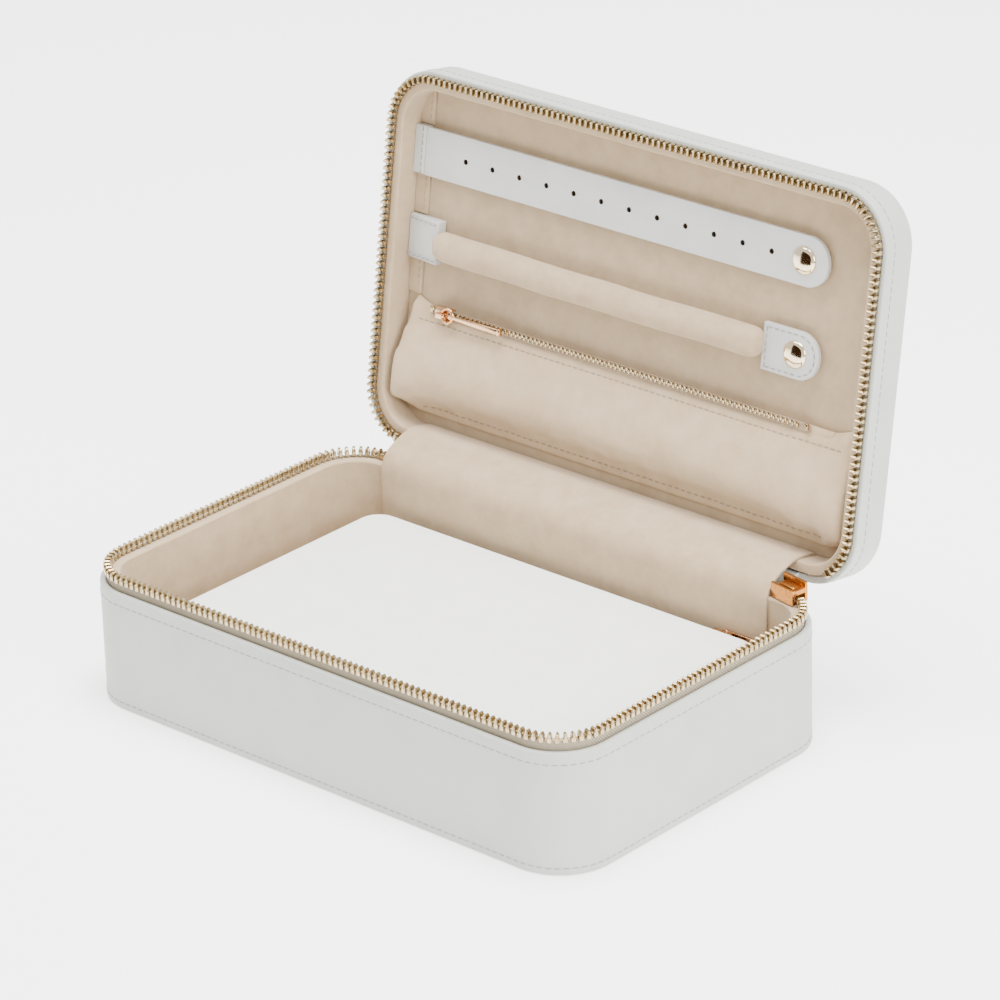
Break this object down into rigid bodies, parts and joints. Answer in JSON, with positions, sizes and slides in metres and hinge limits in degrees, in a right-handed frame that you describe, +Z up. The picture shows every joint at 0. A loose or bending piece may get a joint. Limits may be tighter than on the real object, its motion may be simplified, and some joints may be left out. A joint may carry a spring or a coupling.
{
  "type": "jewelry case",
  "caption": "Zip-around leather jewelry case, open: suede-lined base with a lift-out zipped pouch, hinged lid with earring strip, ring roll and zipped pocket.",
  "frame": {"origin": "middle of the base's underside", "axes": "+Z up, +X along the case's width, -Y towards the front where it opens; the lid is open at 99 degrees"},
  "size_m": [0.222, 0.182, 0.1839],
  "materials": {
    "case_leather": "fine-grained matte leather",
    "board": "grey paperboard; wood stands in for board",
    "suede": "soft suede lining",
    "zip_tape": "woven twill tape",
    "zip_metal": "polished pale gold",
    "snap_metal": "polished pale gold",
    "slider_metal": "polished gold",
    "pouch_leather": "smooth white leather with a pale cut edge"
  },
  "bodies": {
    "base": {"base_wall_leather": "case_leather", "base_bottom_leather": "case_leather", "base_wall_board": "board", "base_bottom_board": "board", "base_wall_lining": "suede", "base_floor_lining": "suede", "base_zip_tape": "zip_tape", "base_zip_teeth": "zip_metal", "base_zip_stop": "zip_metal", "hinge_band": "case_leather", "hinge_lining": "suede"},
    "lid": {"lid_shell_leather": "case_leather", "lid_wall_board": "board", "lid_top_board": "board", "lid_wall_lining": "suede", "lid_panel": "suede", "lid_zip_tape": "zip_tape", "lid_zip_teeth": "zip_metal", "lid_zip_stop": "zip_metal", "strip_anchor": "suede", "strip_snap_stud": "snap_metal", "roll_anchor": "case_leather", "roll_snap_stud": "snap_metal", "pocket_panel": "suede", "pocket_zip_tape": "zip_tape", "pocket_zip_teeth": "zip_metal", "pocket_zip_stops": "zip_metal"},
    "earring_strip": {"earring_strip": "case_leather", "strip_snap_cap": "snap_metal", "strip_snap_socket": "snap_metal"},
    "ring_roll": {"ring_roll": "suede", "roll_tab": "case_leather", "roll_snap_cap": "snap_metal", "roll_snap_socket": "snap_metal"},
    "pocket_slider": {"pocket_zip_slider": "zip_metal"},
    "pocket_pull": {"pocket_zip_pull": "zip_metal"},
    "main_slider": {"main_zip_slider": "slider_metal"},
    "main_pull": {"main_zip_pull": "slider_metal"},
    "pouch": {"pouch_bottom_panel": "pouch_leather", "pouch_top_panel": "pouch_leather", "pouch_gusset": "pouch_leather", "pouch_zip_tape": "zip_tape", "pouch_zip_teeth": "zip_metal"},
    "pouch_slider": {"pouch_zip_slider": "zip_metal"},
    "pouch_pull": {"pouch_zip_pull": "zip_metal"}
  },
  "joints": [
    {"name": "lid_hinge", "type": "hinge", "parent": "base", "child": "lid", "pos_m": [0, 0.07065, 0.0469], "axis": [-1, 0, 0], "range_deg": [-99.15, 0], "deforming": ["hinge_band", "hinge_lining"]},
    {"name": "earring_strip_swing", "type": "hinge", "parent": "lid", "child": "earring_strip", "pos_m": [-0.09845, 0.10027, 0.15218], "axis": [0, -0.159, -0.9873], "range_deg": [0, 75]},
    {"name": "ring_roll_swing", "type": "hinge", "parent": "lid", "child": "ring_roll", "pos_m": [-0.08845, 0.09327, 0.1213], "axis": [0, -0.159, -0.9873], "range_deg": [0, 60]},
    {"name": "pocket_slider_slide", "type": "slide", "parent": "lid", "child": "pocket_slider", "axis": [1, 0, 0], "range_m": [0, 0.15]},
    {"name": "pocket_pull_flip", "type": "hinge", "parent": "pocket_slider", "child": "pocket_pull", "pos_m": [-0.082, 0.08814, 0.09761], "axis": [0, -0.159, -0.9873], "range_deg": [0, 100]},
    {"name": "main_slider_corner", "type": "hinge", "parent": "base", "child": "main_slider", "pos_m": [0.0905, 0.0485, 0.0504], "axis": [0, 0, -1], "range_deg": [0, 80]},
    {"name": "main_pull_swing", "type": "hinge", "parent": "main_slider", "child": "main_pull", "pos_m": [0.09187, 0.07009, 0.0504], "axis": [-0.1736, -0.9848, 0], "range_deg": [0, 70]},
    {"name": "pouch_lift", "type": "slide", "parent": "base", "child": "pouch", "axis": [0, 0, 1], "range_m": [0, 0.06]},
    {"name": "pouch_slider_slide", "type": "slide", "parent": "pouch", "child": "pouch_slider", "axis": [-1, 0, 0], "range_m": [0, 0.136]},
    {"name": "pouch_pull_swing", "type": "hinge", "parent": "pouch_slider", "child": "pouch_pull", "pos_m": [0.07, 0.059, 0.0279], "axis": [0, -1, 0], "range_deg": [0, 80]}
  ]
}
